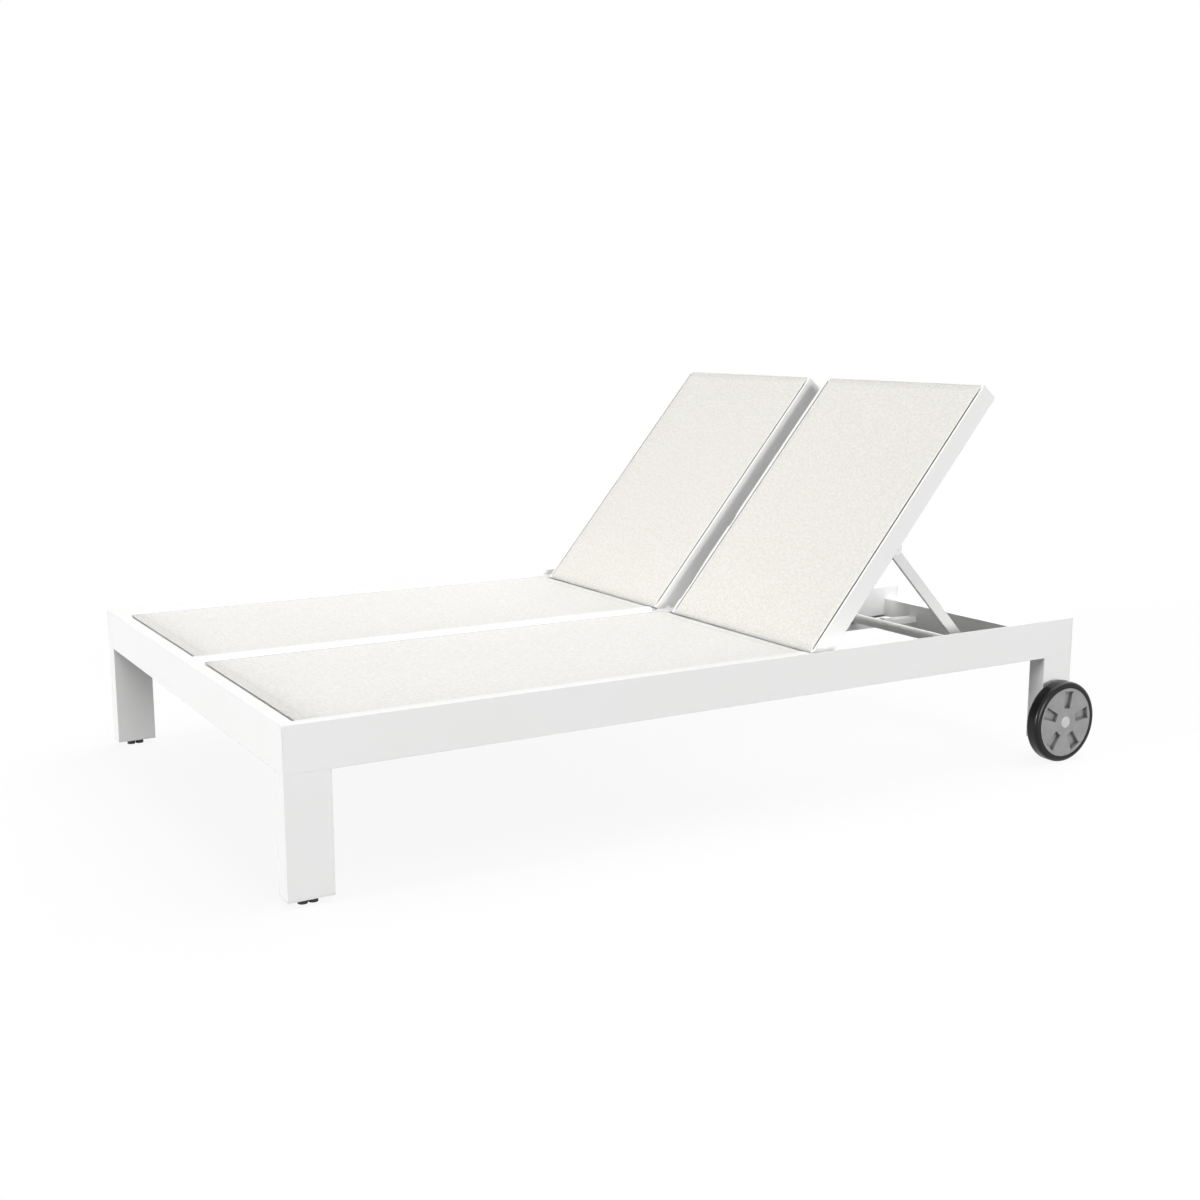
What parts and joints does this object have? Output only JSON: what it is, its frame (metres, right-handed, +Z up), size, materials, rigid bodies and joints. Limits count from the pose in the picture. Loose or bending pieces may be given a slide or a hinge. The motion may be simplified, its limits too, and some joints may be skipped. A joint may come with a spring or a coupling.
{
  "type": "double chaise lounger",
  "caption": "Low double chaise lounger: two slings side by side in one aluminium frame, with a separately reclining backrest on each half and wheels at the head end.",
  "frame": {"origin": "on the floor, on the middle plane, midway from the foot end's face to the back of the wheels", "axes": "+X to the right seen from the foot end, +Y from the foot end to the head end, +Z up"},
  "size_m": [1.384, 2.021, 0.8993],
  "materials": {
    "frame_white": "satin",
    "seat_fabric": "matte",
    "backrest_fabric": "matte",
    "spline_rod": "matte",
    "end_cap": "satin",
    "glide_black": "matte",
    "bush_nylon": "satin",
    "fastener_steel": "satin",
    "tyre_rubber": "satin",
    "wheel_grey": "satin",
    "hub_cap_light": "gloss"
  },
  "bodies": {
    "root": {"axle_nuts": "fastener_steel", "axle_spacers": "bush_nylon", "axles": "fastener_steel", "centre_rail": "frame_white", "foot_glides": "glide_black", "front_rail": "frame_white", "hinge_bolts": "fastener_steel", "hinge_spacers": "bush_nylon", "left_cross_rail": "frame_white", "left_front_leg": "frame_white", "left_prop_racks": "frame_white", "left_rear_leg": "frame_white", "left_rear_rail": "frame_white", "left_seat_sling": "seat_fabric", "left_side_rail": "frame_white", "leg_end_caps": "end_cap", "rail_end_caps": "end_cap", "right_cross_rail": "frame_white", "right_front_leg": "frame_white", "right_prop_racks": "frame_white", "right_rear_leg": "frame_white", "right_rear_rail": "frame_white", "right_seat_sling": "seat_fabric", "right_side_rail": "frame_white", "seat_splines": "spline_rod", "seat_spreaders": "frame_white"},
    "right_backrest": {"right_backrest_outer_rail": "frame_white", "right_backrest_inner_rail": "frame_white", "right_backrest_top_rail": "frame_white", "right_backrest_bottom_rail": "frame_white", "right_backrest_brace": "frame_white", "right_backrest_sling": "backrest_fabric", "right_backrest_splines": "spline_rod", "right_backrest_bushes": "bush_nylon", "right_prop_ears": "frame_white", "right_prop_pins": "fastener_steel"},
    "right_prop": {"right_prop_outer_arm": "frame_white", "right_prop_inner_arm": "frame_white", "right_prop_bar": "frame_white"},
    "right_wheel": {"right_tyre": "tyre_rubber", "right_wheel_rim": "wheel_grey", "right_wheel_bush": "bush_nylon", "right_hub_cap": "hub_cap_light"},
    "left_backrest": {"left_backrest_outer_rail": "frame_white", "left_backrest_inner_rail": "frame_white", "left_backrest_top_rail": "frame_white", "left_backrest_bottom_rail": "frame_white", "left_backrest_brace": "frame_white", "left_backrest_sling": "backrest_fabric", "left_backrest_splines": "spline_rod", "left_backrest_bushes": "bush_nylon", "left_prop_ears": "frame_white", "left_prop_pins": "fastener_steel"},
    "left_prop": {"left_prop_outer_arm": "frame_white", "left_prop_inner_arm": "frame_white", "left_prop_bar": "frame_white"},
    "left_wheel": {"left_tyre": "tyre_rubber", "left_wheel_rim": "wheel_grey", "left_wheel_bush": "bush_nylon", "left_hub_cap": "hub_cap_light"}
  },
  "joints": [
    {"name": "right_backrest_hinge", "type": "hinge", "parent": "root", "child": "right_backrest", "pos_m": [0, 0.2488, 0.32], "axis": [1, 0, 0], "range_deg": [-50, 15]},
    {"name": "right_prop_hinge", "type": "hinge", "parent": "right_backrest", "child": "right_prop", "pos_m": [0, 0.46847, 0.53513], "axis": [1, 0, 0], "range_deg": [-29, 96.4]},
    {"name": "right_wheel_spin", "type": "hinge", "parent": "root", "child": "right_wheel", "pos_m": [0, 0.9125, 0.098], "axis": [1, 0, 0], "continuous": true},
    {"name": "left_backrest_hinge", "type": "hinge", "parent": "root", "child": "left_backrest", "pos_m": [0, 0.2488, 0.32], "axis": [1, 0, 0], "range_deg": [-50, 15]},
    {"name": "left_prop_hinge", "type": "hinge", "parent": "left_backrest", "child": "left_prop", "pos_m": [0, 0.46847, 0.53513], "axis": [1, 0, 0], "range_deg": [-29, 96.4]},
    {"name": "left_wheel_spin", "type": "hinge", "parent": "root", "child": "left_wheel", "pos_m": [0, 0.9125, 0.098], "axis": [1, 0, 0], "continuous": true}
  ],
  "couplings": [
    {"joint": "right_prop_hinge", "follows": "right_backrest_hinge", "ratio": -1.924},
    {"joint": "left_prop_hinge", "follows": "left_backrest_hinge", "ratio": -1.924}
  ]
}
